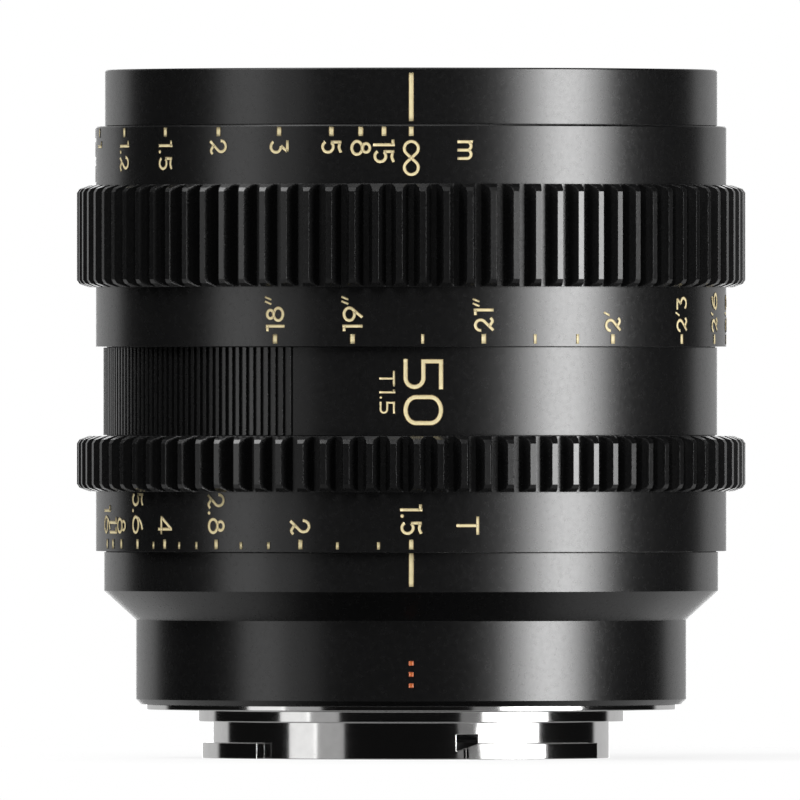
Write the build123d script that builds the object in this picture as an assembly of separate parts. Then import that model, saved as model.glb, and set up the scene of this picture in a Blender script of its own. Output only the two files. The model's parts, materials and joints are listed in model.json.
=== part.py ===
from build123d import *
import os
from math import acos, asin, atan2, cos, degrees, hypot, pi, radians, sin, sqrt, tan

# A 50 mm cinema prime lens for a mirrorless camera, in millimetres.
# The optical axis is +Z towards the front, and z = 0 is the face that seats on the camera.
# The index lines look along -Y. A dial angle counts from there and grows towards +X.
# At rest the lens is focused at infinity with the iris wide open.

# Outside diameters and heights, from the front down to the mount
FRONT_R, FRONT_TOP, FRONT_LOW = 33.33, 69.66, 63.60
SLEEVE_R = 34.32
FOCUS_TOP, FOCUS_GEAR_TOP, FOCUS_GEAR_LOW, FOCUS_LOW = 63.50, 57.10, 46.02, 39.56
GRIP_R, MID_TOP, MID_LOW = 33.32, 39.46, 29.94
IRIS_TOP, IRIS_GEAR_LOW, IRIS_LOW = 29.84, 23.82, 17.32
REAR_R, REAR_TOP, CONE_TOP, CONE_LOW = 33.42, 17.20, 13.00, 9.83
NECK_R, NECK_LOW = 29.94, 0.65
FLANGE_R, FLANGE_RIM_LOW, SEAT_R = 28.83, 0.09, 25.00
PILOT_R, PILOT_LOW = 23.18, -1.19
BAYONET_R, BAYONET_BORE_R, BAYONET_LOW = 21.59, 19.60, -5.19
LUG_R, LUG_TOP = 22.76, -3.49
LUGS = ((16.0, 62.7), (136.0, 184.0), (-94.5, -47.5))  # dial angles of their ends
EDGE, NECK_EDGE = 0.15, 0.55

# Follow-focus gears: module 0.8, 89 teeth, 20 degree involute flanks
MODULE, TEETH, PRESSURE = 0.8, 89, 20
GEAR_PITCH_R = MODULE * TEETH / 2
GEAR_TIP_R = GEAR_PITCH_R + MODULE
GEAR_ROOT_R = GEAR_PITCH_R - 1.25 * MODULE
TOOTH = 360 / TEETH
BEVEL = ((35.10, 0.0), (36.12, 0.38), (GEAR_TIP_R, 0.80))  # radius and depth from a gear's end

# Fine ribs on the grip, a patch on the left side
RIB_PITCH, RIBS, RIB_MIDDLE = 360 / 232, 87, -90
RIB_R, RIB_FLOOR_R, RIB_TOP_SHARE, RIB_BASE_SHARE = 33.50, 33.14, 0.44, 0.66

# Fixed tube that carries everything, and the lands on which the two rings turn
TUBE_R, TUBE_BORE_R, TUBE_TOP, TUBE_LOW = 30.75, 29.30, 63.20, 12.50
COLLAR_R, COLLAR_TOP, COLLAR_LOW = 31.50, 41.20, 40.20
SPIGOT_BORE_R = 30.80
FOCUS_LAND_R, FOCUS_BORE_R = 32.20, 32.28
IRIS_LAND_R, IRIS_BORE_R = 31.90, 31.98
FRONT_SPIGOT_LOW, MID_SPIGOT_TOP, MID_SPIGOT_LOW, REAR_SPIGOT_TOP = 60.45, 41.20, 26.50, 20.00
FILTER_R, FILTER_DEPTH = 31.00, 5.00

# Inside of the rear barrel, where the flange's screws go through a shelf
REAR_BORE_R, SHELF_BORE_R, SHELF_TOP = 28.20, 24.60, 6.00
MOUNT_BODY_R, MOUNT_TOP, SHIM_TOP = 28.15, 2.60, 2.80

# Screws and pins, with the play all round one in its hole
PLAY = 0.02
SET_SCREWS, SET_SCREW_DIAL, SET_SCREW_R, SET_SCREW_INNER = 3, 30, 0.80, 30.05
FRONT_SCREW_Z, MID_SCREW_Z, REAR_SCREW_Z = 62.00, 28.20, 18.60
MOUNT_SCREWS, MOUNT_SCREW_DIAL, MOUNT_SCREW_CIRCLE = 4, 45, 26.60
MOUNT_SCREW_R, MOUNT_HEAD_R, MOUNT_HEAD_LOW, MOUNT_HEAD_TOP = 0.80, 1.82, 0.16, 1.18
FORK_SCREW_R, FORK_HEAD_R, FORK_SCREW_Z, FORK_SCREW_TURN = 0.80, 1.30, 23.70, 5.4

# Focus drive: three followers in straight and in helical slots
FOCUS_TURN = 205.2
HELIX_LEAD = 12.68
FOCUS_TRAVEL = HELIX_LEAD * FOCUS_TURN / 360
FOLLOWER_R, SLOT_SIDE, FOLLOWER_Z, FOLLOWERS = 1.20, 0.05, 48.00, 3
CAM_R, CAM_BORE_R, CAM_TOP, CAM_LOW = 32.24, 30.85, 59.90, 41.80
CAM_PINS, CAM_PIN_DIAL, CAM_PIN_Z = 3, 60, 57.90
STOP_R, STOP_Z, STOP_DIAL = 0.95, 43.80, 100
THRUST, THRUST_BORE_R = 0.50, 30.90

# Iris drive: fork on the iris ring, tongue on the cam ring of the blades
IRIS_TURN = 74.5
IRIS_SHUT_TURN = 81.6  # where the opening would reach nothing
FORK_DIAL, FORK_HALF = -120, 8.5
FORK_R, FORK_BORE_R, FORK_TOP, FORK_LOW = 29.15, 27.75, 35.20, 22.20
FORK_NECK_TOP, FORK_NECK_LOW = 26.00, 21.40
FORK_SLOT_TOP, FORK_SLOT_LOW = 34.00, 24.20
TONGUE_HALF, TONGUE_R = 0.85, 29.00
IRIS_THRUST_R, IRIS_THRUST_TOP = 33.05, 17.77

# Iris: ten blades, each on a layer of its own, on pivot pins in the base
BLADES = 10
IRIS_OPEN_R, BLADE_EDGE_R, BLADE_ARC = 12.60, 19.00, 112
PIVOT_R, LEVER, PIN_R, PIN_HOLE_R = 20.50, 6.50, 0.45, 0.50
BLADE_TURN = degrees(2 * asin(IRIS_OPEN_R * IRIS_TURN / IRIS_SHUT_TURN / 2 / PIVOT_R))
BLADE_LOW, BLADE_PITCH, BLADE_THICK = 23.36, 0.12, 0.08
BLADE_EYE_R, DRIVE_EYE_R, BLADE_ARM = 1.10, 0.90, (17.4, 1.6, 1.4)
PIVOT_LOW = 22.20
IRIS_CAM_LOW, IRIS_CAM_TOP, IRIS_CAM_R, IRIS_CAM_BORE_R = 24.62, 25.92, 24.42, 18.90
IRIS_SLOT_HALF = PIN_R + 0.07
IRIS_BASE_LOW, IRIS_FLOOR_TOP, IRIS_CUP_TOP, IRIS_COVER_TOP = 22.00, 23.30, 26.00, 27.40
IRIS_CUP_R, IRIS_CUP_BORE_R, IRIS_CLEAR_R = 25.50, 24.50, 12.90

# Optical block, which slides in the tube
CARRIAGE_R, CARRIAGE_WAIST_R, CARRIAGE_BORE_R = 29.24, 27.30, 25.60
CARRIAGE_TOP, CARRIAGE_LOW, CARRIAGE_SHOULDER = 54.00, 15.50, 38.00
CARRIAGE_MOUTH_R, CARRIAGE_MOUTH_LOW = 27.60, 46.00
CARRIAGE_RELIEF_R, CARRIAGE_RELIEF_TOP, CARRIAGE_RELIEF_LOW = 28.60, 46.00, 42.00
WEB_R, WEB_TOP = 20.50, 28.60
BEZEL_R, BEZEL_TOP, BEZEL_FOOT_R, BEZEL_LOW = 29.15, 57.00, 27.55, 47.60
CELL_FLANGE_LOW, LOCK_LOW, LOCK_BORE_R = 19.00, 16.80, 19.00
RELIEF = 0.05

# Glass: height on the axis and curve of each surface, the front one first.
# A curve is positive when its centre lies behind the surface, and None is flat.
GLASS = {
    "element_1": ((51.50, 42.0), (45.30, 140.0)),
    "element_2": ((44.90, 27.0), (36.50, None)),
    "element_3": ((36.47, None), (34.47, 16.5)),
    "element_4": ((16.70, -16.5), (14.90, None)),
    "element_5": ((14.87, None), (7.67, -24.0)),
    "element_6": ((7.10, 70.0), (1.50, -38.0)),
    "element_7": ((0.00, -60.0), (-1.90, -120.0)),
}
FRONT_GLASS_R, MIDDLE_GLASS_R, REAR_GLASS_R = 22.0, 18.0, 14.0
HOLLOW_BACK_R, HOLLOW_FRONT_R = 12.8, 11.5  # rims of the two deep hollows beside the iris
SPACER_BORE_R = 13.0
FRONT, BACK = 0, 1


def turned(*points):
    """A solid turned about the axis from its half section, given as radius and height."""
    return revolve(Plane.XZ * make_face(Polyline(*points, close=True)), Axis.Z)


def ring(outer, inner, low, high):
    return turned((inner, low), (outer, low), (outer, high), (inner, high))


def at_dial(angle):
    """Turns a piece drawn towards the index side (-Y) to a dial angle."""
    return Rot(0, 0, angle)


def sector(outer, inner, low, high, start, end):
    """Part of a ring between two dial angles."""
    section = make_face(Polyline((inner, low), (outer, low), (outer, high), (inner, high), close=True))
    return Rot(0, 0, start - 90) * revolve(Plane.XZ * section, Axis.Z, revolution_arc=end - start)


def radial_pin(radius, inner, outer, height, angle=0):
    """A round pin that points away from the axis at a dial angle."""
    place = Plane(origin=(0, -inner, height), z_dir=(0, -1, 0))
    return at_dial(angle) * extrude(place * Circle(radius), outer - inner)


def around(piece, count, start=0):
    """Copies of a piece, evenly spaced about the axis."""
    return [at_dial(start + 360 * i / count) * piece for i in range(count)]


def polar(radius, angle):
    """A point in plan at a dial angle."""
    return radius * sin(radians(angle)), -radius * cos(radians(angle))


# Focus ring and iris ring, with their gears

def involute(angle):
    return tan(angle) - angle


def tooth_half_angle(radius):
    """Half the angle that an involute tooth fills at a radius."""
    base = GEAR_PITCH_R * cos(radians(PRESSURE))
    grow = involute(radians(PRESSURE)) - involute(acos(base / radius))
    return degrees(pi / (2 * TEETH) + grow)


def gear_band(bore, low, high, first_tooth):
    """A band of full-width teeth, bevelled at both ends."""
    levels = (GEAR_ROOT_R, GEAR_PITCH_R, GEAR_TIP_R)
    flank = [(r, tooth_half_angle(r)) for r in levels]
    outline = []
    for i in range(TEETH):
        middle = first_tooth + i * TOOTH
        outline += [polar(r, middle - half) for r, half in flank]
        outline += [polar(r, middle + half) for r, half in reversed(flank)]
    teeth = Pos(0, 0, low) * extrude(make_face(Polyline(*outline, close=True)), high - low)
    lower = [(r, low + depth) for r, depth in BEVEL]
    upper = [(r, high - depth) for r, depth in reversed(BEVEL)]
    return teeth & turned((bore, low), *lower, *upper, (bore, high))


def focus_ring():
    """Sleeve with the metre and feet scales on it, and the wide gear between them."""
    gear = gear_band(FOCUS_BORE_R, FOCUS_GEAR_LOW, FOCUS_GEAR_TOP, TOOTH / 2)
    sleeve = turned(
        (FOCUS_BORE_R, FOCUS_LOW), (SLEEVE_R, FOCUS_LOW), (SLEEVE_R, FOCUS_TOP - EDGE),
        (SLEEVE_R - EDGE, FOCUS_TOP), (FOCUS_BORE_R, FOCUS_TOP),
    )
    pin_hole = radial_pin(FOLLOWER_R, CAM_R - 1, cam_pin_end() + PLAY, CAM_PIN_Z)
    return gear + sleeve - around(pin_hole, CAM_PINS, CAM_PIN_DIAL)


def iris_ring():
    """Sleeve with the aperture scale on it, and the narrow gear in front."""
    gear = gear_band(IRIS_BORE_R, IRIS_GEAR_LOW, IRIS_TOP, TOOTH / 4)
    sleeve = ring(SLEEVE_R, IRIS_BORE_R, IRIS_LOW, (IRIS_TOP + IRIS_GEAR_LOW) / 2)
    recess = ring(IRIS_THRUST_R + RELIEF, IRIS_BORE_R - 1, IRIS_LOW - 1, IRIS_THRUST_TOP)
    return gear + sleeve - recess - fork_screw_holes(FORK_SCREW_R)


# Fixed barrel

def front_barrel():
    """Front ring with the filter thread's bore, and a spigot that steadies the focus ring."""
    shelf = FRONT_TOP - FILTER_DEPTH
    body = turned(
        (SPIGOT_BORE_R, FRONT_SPIGOT_LOW), (FOCUS_LAND_R, FRONT_SPIGOT_LOW),
        (FOCUS_LAND_R, FRONT_LOW), (FRONT_R, FRONT_LOW),
        (FRONT_R, FRONT_TOP - EDGE), (FRONT_R - EDGE, FRONT_TOP),
        (FILTER_R, FRONT_TOP), (FILTER_R, shelf), (TUBE_BORE_R, shelf),
        (TUBE_BORE_R, TUBE_TOP), (SPIGOT_BORE_R, TUBE_TOP),
    )
    return body - set_screw_holes(FRONT_SCREW_Z, FOCUS_LAND_R)


def guide_tube():
    """Fixed tube with straight slots for the followers and a slot across for the iris fork."""
    tube = turned(
        (TUBE_BORE_R, TUBE_LOW), (TUBE_R, TUBE_LOW),
        (TUBE_R, COLLAR_LOW), (COLLAR_R, COLLAR_LOW), (COLLAR_R, COLLAR_TOP), (TUBE_R, COLLAR_TOP),
        (TUBE_R, TUBE_TOP), (TUBE_BORE_R, TUBE_TOP),
    )
    half = FOLLOWER_R + SLOT_SIDE
    middle = FOLLOWER_Z + FOCUS_TRAVEL / 2
    place = Plane(origin=(0, -TUBE_BORE_R + 1, middle), x_dir=(0, 0, 1), z_dir=(0, -1, 0))
    slot = extrude(place * SlotOverall(FOCUS_TRAVEL + 2 * half, 2 * half), TUBE_R - TUBE_BORE_R + 2)
    side, end = 0.3, 1.0
    across = sector(
        TUBE_R + 1, TUBE_BORE_R - 1, FORK_NECK_LOW - side, FORK_NECK_TOP + side,
        FORK_DIAL - FORK_HALF - end, FORK_DIAL + FORK_HALF + IRIS_TURN + end,
    )
    heights = (FRONT_SCREW_Z, MID_SCREW_Z, REAR_SCREW_Z)
    dimples = [hole for z in heights for hole in set_screw_holes(z, TUBE_R)]
    stop_seat = radial_pin(STOP_R, TUBE_BORE_R - 1, TUBE_R + 1, STOP_Z, STOP_DIAL)
    return tube - around(slot, FOLLOWERS) - across - dimples - stop_seat


def grip_outline():
    """Outer edge in plan: a plain arc, then the ribs."""
    start = RIB_MIDDLE - RIBS * RIB_PITCH / 2
    end = start + RIBS * RIB_PITCH
    foot, head = RIB_BASE_SHARE * RIB_PITCH / 2, RIB_TOP_SHARE * RIB_PITCH / 2
    corners = ((RIB_FLOOR_R, -foot), (RIB_R, -head), (RIB_R, head), (RIB_FLOOR_R, foot))
    points = [polar(GRIP_R, start), polar(RIB_FLOOR_R, start)]
    for i in range(RIBS):
        middle = start + (i + 0.5) * RIB_PITCH
        points += [polar(r, middle + turn) for r, turn in corners]
    points += [polar(RIB_FLOOR_R, end), polar(GRIP_R, end)]
    opposite = polar(GRIP_R, RIB_MIDDLE + 180)
    return Polyline(*points) + ThreePointArc(points[-1], opposite, points[0])


def mid_barrel():
    """Fixed grip between the two rings, with spigots that reach under both."""
    grip = Pos(0, 0, MID_LOW) * extrude(make_face(grip_outline()), MID_TOP - MID_LOW)
    step = (MID_TOP + MID_LOW) / 2
    spigots = turned(
        (SPIGOT_BORE_R, MID_SPIGOT_LOW), (IRIS_LAND_R, MID_SPIGOT_LOW),
        (IRIS_LAND_R, step), (FOCUS_LAND_R, step),
        (FOCUS_LAND_R, MID_SPIGOT_TOP), (SPIGOT_BORE_R, MID_SPIGOT_TOP),
    )
    bore = Pos(0, 0, MID_SPIGOT_LOW) * extrude(Circle(SPIGOT_BORE_R), MID_SPIGOT_TOP - MID_SPIGOT_LOW)
    counterbore = ring(COLLAR_R + RELIEF, TUBE_R - 1, COLLAR_LOW, COLLAR_TOP + 1)
    return grip + spigots - bore - counterbore - set_screw_holes(MID_SCREW_Z, IRIS_LAND_R)


def rear_barrel():
    """Rear cover that tapers to the mount, with a shelf inside for the mount's screws."""
    body = turned(
        (REAR_BORE_R, NECK_LOW), (NECK_R - NECK_EDGE, NECK_LOW), (NECK_R, NECK_LOW + NECK_EDGE),
        (NECK_R, CONE_LOW), (REAR_R, CONE_TOP), (REAR_R, REAR_TOP),
        (IRIS_LAND_R, REAR_TOP), (IRIS_LAND_R, REAR_SPIGOT_TOP),
        (SPIGOT_BORE_R, REAR_SPIGOT_TOP), (SPIGOT_BORE_R, TUBE_LOW), (REAR_BORE_R, TUBE_LOW),
        (REAR_BORE_R, SHELF_TOP), (SHELF_BORE_R, SHELF_TOP), (SHELF_BORE_R, SHIM_TOP),
        (REAR_BORE_R, SHIM_TOP),
    )
    holes = set_screw_holes(REAR_SCREW_Z, IRIS_LAND_R) + mount_screw_holes(MOUNT_SCREW_R + PLAY)
    return body - holes


def set_screw(height, outer):
    """A headless screw with a hexagon socket, sunk just below the land."""
    end, corner_r, depth = outer - 0.08, 0.4, 0.6
    screw = radial_pin(SET_SCREW_R - PLAY, SET_SCREW_INNER, end, height)
    mouth = Plane(origin=(0, -end, height), z_dir=(0, 1, 0))
    return screw - extrude(mouth * RegularPolygon(corner_r, 6), depth)


def set_screws(height, outer):
    return Compound(children=around(set_screw(height, outer), SET_SCREWS, SET_SCREW_DIAL))


def set_screw_holes(height, outer):
    return around(radial_pin(SET_SCREW_R, SET_SCREW_INNER, outer + 1, height), SET_SCREWS, SET_SCREW_DIAL)


def focus_stop_pin():
    """Pin in the tube whose groove in the cam ring ends the focus travel."""
    return radial_pin(STOP_R - PLAY, TUBE_BORE_R + RELIEF, CAM_R - 0.1, STOP_Z, STOP_DIAL)


# Mount

def lug(start, end):
    return sector(LUG_R, BAYONET_R - 1, BAYONET_LOW, LUG_TOP, start, end)


def lug_ramp():
    """Cut that slopes the leading end of the first lug."""
    left, right, low, high = 4.9, 7.2, -4.30, -2.50
    corners = ((left, low), (right, LUG_TOP), (right, high), (left, high))
    place = Plane(origin=(0, 0, 0), x_dir=(1, 0, 0), z_dir=(0, -1, 0))
    return extrude(place * make_face(Polyline(*corners, close=True)), LUG_R)


def lens_mount():
    """Bayonet mount: flange, pilot, tube and three lugs."""
    body = turned(
        (BAYONET_BORE_R, BAYONET_LOW), (BAYONET_R, BAYONET_LOW), (BAYONET_R, PILOT_LOW),
        (PILOT_R, PILOT_LOW), (PILOT_R, 0), (SEAT_R, 0), (SEAT_R, FLANGE_RIM_LOW),
        (FLANGE_R, FLANGE_RIM_LOW), (FLANGE_R, NECK_LOW), (MOUNT_BODY_R, NECK_LOW),
        (MOUNT_BODY_R, MOUNT_TOP), (BAYONET_BORE_R, MOUNT_TOP),
    )
    latch_r, latch_circle, latch_dial, latch_top = 1.1, 25.6, 150, 0.6
    latch = Pos(*polar(latch_circle, latch_dial), latch_top - 1) * Cylinder(latch_r, 2)
    seats = [Pos(x, y, 0) * screw_head_seat() for x, y in mount_screw_places()]
    holes = mount_screw_holes(MOUNT_SCREW_R + 0.2)
    return body + [lug(*ends) for ends in LUGS] - lug_ramp() - latch - seats - holes


def mount_screw_places():
    step = 360 / MOUNT_SCREWS
    return [polar(MOUNT_SCREW_CIRCLE, MOUNT_SCREW_DIAL + i * step) for i in range(MOUNT_SCREWS)]


def mount_screw_holes(radius):
    hole = extrude(Circle(radius), SHELF_TOP + 1)
    return [Pos(x, y, 0) * hole for x, y in mount_screw_places()]


def screw_head_seat():
    """Cutter for a head that lies just below the flange, with a 45 degree cone."""
    low, high, rim = MOUNT_HEAD_LOW, MOUNT_HEAD_TOP, MOUNT_HEAD_R + 2 * PLAY
    return turned((0, -1), (rim, -1), (rim, low), (rim - (high - low), high), (0, high))


def mount_screws():
    """Countersunk cross-head screws through the flange and shim into the rear barrel."""
    screw = turned(
        (0, MOUNT_HEAD_LOW), (MOUNT_HEAD_R, MOUNT_HEAD_LOW), (MOUNT_SCREW_R, MOUNT_HEAD_TOP),
        (MOUNT_SCREW_R, SHELF_TOP), (0, SHELF_TOP),
    )
    length, width, depth = 1.7, 0.34, 0.6
    cross = Box(length, width, 2 * depth) + Box(width, length, 2 * depth)
    screw -= Pos(0, 0, MOUNT_HEAD_LOW) * cross
    return Compound(children=[Pos(x, y, 0) * screw for x, y in mount_screw_places()])


def flange_shim():
    """Thin ring that sets the flange distance."""
    side = 0.1
    return ring(REAR_BORE_R - side, SHELF_BORE_R + side, MOUNT_TOP, SHIM_TOP) - mount_screw_holes(1.2)


def rear_baffle():
    """Black ring with a stepped opening, screwed into the bayonet."""
    outer, top, low = BAYONET_BORE_R - PLAY, -3.40, -4.90
    opening, steps = 14.60, 3
    rise, spread = (top - low) / steps, 0.60
    stairs = []
    for i in reversed(range(steps)):
        radius = opening + i * spread
        stairs += [(radius, low + (i + 1) * rise), (radius, low + i * rise)]
    return turned((outer, low), (outer, top), *stairs)


# Focus drive

def helical_slot():
    """One slot along which a follower climbs as the cam ring turns."""
    half = FOLLOWER_R + SLOT_SIDE
    middle, reach = (CAM_R + CAM_BORE_R) / 2, 1.5
    path = Pos(0, 0, FOLLOWER_Z) * Helix(HELIX_LEAD, FOCUS_TRAVEL, middle, lefthand=True)
    across = Plane(origin=path @ 0, x_dir=(1, 0, 0), z_dir=path % 0)
    groove = sweep(across * Rectangle(2 * reach, 2 * half), path, is_frenet=True)
    low = radial_pin(half, middle - reach, middle + reach, FOLLOWER_Z, 90)
    high = radial_pin(half, middle - reach, middle + reach, FOLLOWER_Z + FOCUS_TRAVEL, 90 - FOCUS_TURN)
    return Rot(0, 0, -90) * (groove + low + high)


def focus_cam_ring():
    """Ring inside the focus ring with three helical slots and the stop groove."""
    cam = ring(CAM_R, CAM_BORE_R, CAM_LOW, CAM_TOP)
    half = STOP_R + SLOT_SIDE
    outer, inner, stop_start = CAM_R + 1, CAM_BORE_R - 1, STOP_DIAL - FOCUS_TURN
    groove = sector(outer, inner, STOP_Z - half, STOP_Z + half, stop_start, STOP_DIAL)
    ends = [radial_pin(half, inner, outer, STOP_Z, angle) for angle in (stop_start, STOP_DIAL)]
    pins = around(radial_pin(FOLLOWER_R, inner, outer, CAM_PIN_Z), CAM_PINS, CAM_PIN_DIAL)
    return cam - around(helical_slot(), FOLLOWERS) - groove - ends - pins


def cam_pin_end():
    return SLEEVE_R - 1


def cam_ring_pins():
    """Dowels that lock the cam ring to the focus ring."""
    pin = radial_pin(FOLLOWER_R - PLAY, CAM_BORE_R + RELIEF, cam_pin_end(), CAM_PIN_Z)
    return Compound(children=around(pin, CAM_PINS, CAM_PIN_DIAL))


def focus_thrust_ring(low):
    return ring(FOCUS_LAND_R, THRUST_BORE_R, low, low + THRUST)


def focus_followers():
    """Brass pins on the carriage that reach through the tube into the cam ring."""
    pin = radial_pin(FOLLOWER_R, CARRIAGE_MOUTH_R + PLAY, CAM_R - 0.1, FOLLOWER_Z)
    return Compound(children=around(pin, FOLLOWERS))


# Iris drive

def beside_fork_slot(piece):
    """A piece drawn at the index, put on both sides of the fork's slot."""
    return [at_dial(FORK_DIAL + side * FORK_SCREW_TURN) * piece for side in (-1, 1)]


def fork_screw_end():
    return IRIS_BORE_R + 1.12


def fork_screw_holes(radius):
    return beside_fork_slot(radial_pin(radius, FORK_BORE_R - 1, fork_screw_end() + 0.1, FORK_SCREW_Z))


def fork_head_bottom():
    """Where the screws' heads end, most of the way through the plate."""
    return FORK_R - 0.45


def iris_fork():
    """Slotted plate on the iris ring that reaches through the tube and turns the cam ring."""
    start, end = FORK_DIAL - FORK_HALF, FORK_DIAL + FORK_HALF
    plate = sector(FORK_R, FORK_BORE_R, FORK_LOW, FORK_TOP, start, end)
    neck = sector(IRIS_BORE_R - PLAY, FORK_BORE_R, FORK_NECK_LOW, FORK_NECK_TOP, start, end)
    width = 2 * (TONGUE_HALF + SLOT_SIDE)
    middle = (FORK_SLOT_TOP + FORK_SLOT_LOW) / 2
    place = Plane(origin=(0, -FORK_BORE_R + 1, middle), x_dir=(0, 0, 1), z_dir=(0, -1, 0))
    section = place * Rectangle(FORK_SLOT_TOP - FORK_SLOT_LOW, width)
    slot = at_dial(FORK_DIAL) * extrude(section, TONGUE_R + 0.2 - FORK_BORE_R + 1)
    head_seat = radial_pin(FORK_HEAD_R + RELIEF, FORK_BORE_R - 1, fork_head_bottom() + PLAY, FORK_SCREW_Z)
    return plate + neck - slot - fork_screw_holes(FORK_SCREW_R + PLAY) - beside_fork_slot(head_seat)


def fork_screws():
    """Two screws that hold the fork to the iris ring, put in from the bore."""
    start, corner_r, depth = FORK_BORE_R + RELIEF, 0.55, 0.6
    head = radial_pin(FORK_HEAD_R, start, fork_head_bottom(), FORK_SCREW_Z)
    shank = radial_pin(FORK_SCREW_R - PLAY, fork_head_bottom(), fork_screw_end(), FORK_SCREW_Z)
    mouth = Plane(origin=(0, -start, FORK_SCREW_Z), z_dir=(0, -1, 0))
    hexagon = extrude(mouth * RegularPolygon(corner_r, 6), depth)
    return Compound(children=beside_fork_slot(head + shank - hexagon))


def iris_thrust_ring():
    return ring(IRIS_THRUST_R, IRIS_BORE_R + PLAY, REAR_TOP + RELIEF, IRIS_THRUST_TOP)


# Iris

def blade_place(index):
    return Rot(0, 0, 360 * index / BLADES)


def drive_pin_place(turn):
    """Where a blade's drive pin is, for a blade pivoted on +X and turned by an angle."""
    angle = radians(-90 - BLADE_TURN / 2 + turn)
    return PIVOT_R + LEVER * cos(angle), LEVER * sin(angle)


def iris_slot():
    """Slot of the cam ring for one blade: the drive pin's path as the cam ring sees it."""
    path = []
    for share in (0, 0.5, 1):
        x, y = drive_pin_place(BLADE_TURN * share)
        radius, angle = hypot(x, y), atan2(y, x) - radians(IRIS_TURN * share)
        path.append((radius * cos(angle), radius * sin(angle)))
    return SlotArc(ThreePointArc(*path), 2 * IRIS_SLOT_HALF)


def iris_cam_ring():
    """Ring with ten curved slots and the tongue that the fork drives."""
    slots = [blade_place(i) * iris_slot() for i in range(BLADES)]
    plan = Circle(IRIS_CAM_R) - Circle(IRIS_CAM_BORE_R) - slots
    reach = TONGUE_R - IRIS_CAM_R + 0.3
    tongue = Pos(0, -TONGUE_R + reach / 2) * Rectangle(2 * TONGUE_HALF, reach)
    plan += at_dial(FORK_DIAL) * tongue
    return Pos(0, 0, IRIS_CAM_LOW) * extrude(plan, IRIS_CAM_TOP - IRIS_CAM_LOW)


def blade_plan(drive):
    """A crescent that bounds the open iris, with an ear for each pin."""
    bow = Circle(BLADE_EDGE_R) - Circle(IRIS_OPEN_R)
    far = 2 * BLADE_EDGE_R
    corners = ((0, 0), (far, -0.03 * far), (far, far), (-far * tan(radians(BLADE_ARC - 90)), far))
    wedge = make_face(Polyline(*corners, close=True))
    eye = Pos(PIVOT_R, 0) * Circle(BLADE_EYE_R)
    ear = make_hull([*eye.edges(), *(Pos(*drive) * Circle(DRIVE_EYE_R)).edges()])
    x, y, radius = BLADE_ARM
    arm = make_hull([*eye.edges(), *(Pos(x, y) * Circle(radius)).edges()])
    return (bow & wedge) + ear + arm


def iris_blade(index):
    """One thin crescent with its pivot pin below and its drive pin above."""
    low = BLADE_LOW + index * BLADE_PITCH
    drive = drive_pin_place(0)
    plate = Pos(0, 0, low) * extrude(blade_plan(drive), BLADE_THICK)
    pivot = Pos(PIVOT_R, 0, PIVOT_LOW) * extrude(Circle(PIN_R), low + BLADE_THICK - PIVOT_LOW)
    pin = Pos(*drive, low) * extrude(Circle(PIN_R), IRIS_CAM_TOP - 0.1 - low)
    return blade_place(index) * (plate + pivot + pin)


def tongue_window(low, high, inner, outer):
    """Opening across which the cam ring's tongue swings."""
    spare = 3
    return sector(outer, inner, low, high, FORK_DIAL - spare, FORK_DIAL + IRIS_TURN + spare)


def iris_base():
    """Cup that holds the blades' pivots and centres the cam ring."""
    cup = turned(
        (IRIS_CLEAR_R, IRIS_BASE_LOW), (IRIS_CUP_R, IRIS_BASE_LOW), (IRIS_CUP_R, IRIS_CUP_TOP),
        (IRIS_CUP_BORE_R, IRIS_CUP_TOP), (IRIS_CUP_BORE_R, IRIS_FLOOR_TOP),
        (IRIS_CLEAR_R, IRIS_FLOOR_TOP),
    )
    hole = Pos(PIVOT_R, 0, PIVOT_LOW - 0.1) * extrude(Circle(PIN_HOLE_R), 2)
    cup -= [blade_place(i) * hole for i in range(BLADES)]
    return cup - tongue_window(IRIS_CAM_LOW - 0.12, IRIS_CUP_TOP + 1, IRIS_CUP_BORE_R - 1, IRIS_CUP_R + 1)


def iris_cover():
    return ring(IRIS_CUP_R, IRIS_CLEAR_R, IRIS_CUP_TOP, IRIS_COVER_TOP)


# Optical block

def carriage():
    """Sliding tube that holds the glass and the iris, borne on two lands."""
    slope = 0.5
    body = turned(
        (CARRIAGE_BORE_R, CARRIAGE_LOW), (CARRIAGE_WAIST_R, CARRIAGE_LOW),
        (CARRIAGE_WAIST_R, CARRIAGE_SHOULDER), (CARRIAGE_R, CARRIAGE_SHOULDER),
        (CARRIAGE_R, CARRIAGE_RELIEF_LOW), (CARRIAGE_RELIEF_R, CARRIAGE_RELIEF_LOW + slope),
        (CARRIAGE_RELIEF_R, CARRIAGE_RELIEF_TOP - slope), (CARRIAGE_R, CARRIAGE_RELIEF_TOP),
        (CARRIAGE_R, CARRIAGE_TOP), (CARRIAGE_MOUTH_R, CARRIAGE_TOP),
        (CARRIAGE_MOUTH_R, CARRIAGE_MOUTH_LOW), (CARRIAGE_BORE_R, CARRIAGE_MOUTH_LOW),
        (CARRIAGE_BORE_R, WEB_TOP), (WEB_R, WEB_TOP), (WEB_R, IRIS_COVER_TOP),
        (CARRIAGE_BORE_R, IRIS_COVER_TOP),
    )
    seat = radial_pin(FOLLOWER_R + PLAY, CARRIAGE_BORE_R, CARRIAGE_R, FOLLOWER_Z)
    low, high = IRIS_CAM_LOW - 0.2, IRIS_CAM_TOP + 0.3
    window = tongue_window(low, high, CARRIAGE_BORE_R - 1, CARRIAGE_WAIST_R + 1)
    return body - around(seat, FOLLOWERS) - window


def surface_height(curved, radius):
    """Height of a glass surface at a radius from the axis."""
    vertex, curve = curved
    if curve is None:
        return vertex
    sag = abs(curve) - sqrt(curve**2 - radius**2)
    return vertex - sag if curve > 0 else vertex + sag


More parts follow.
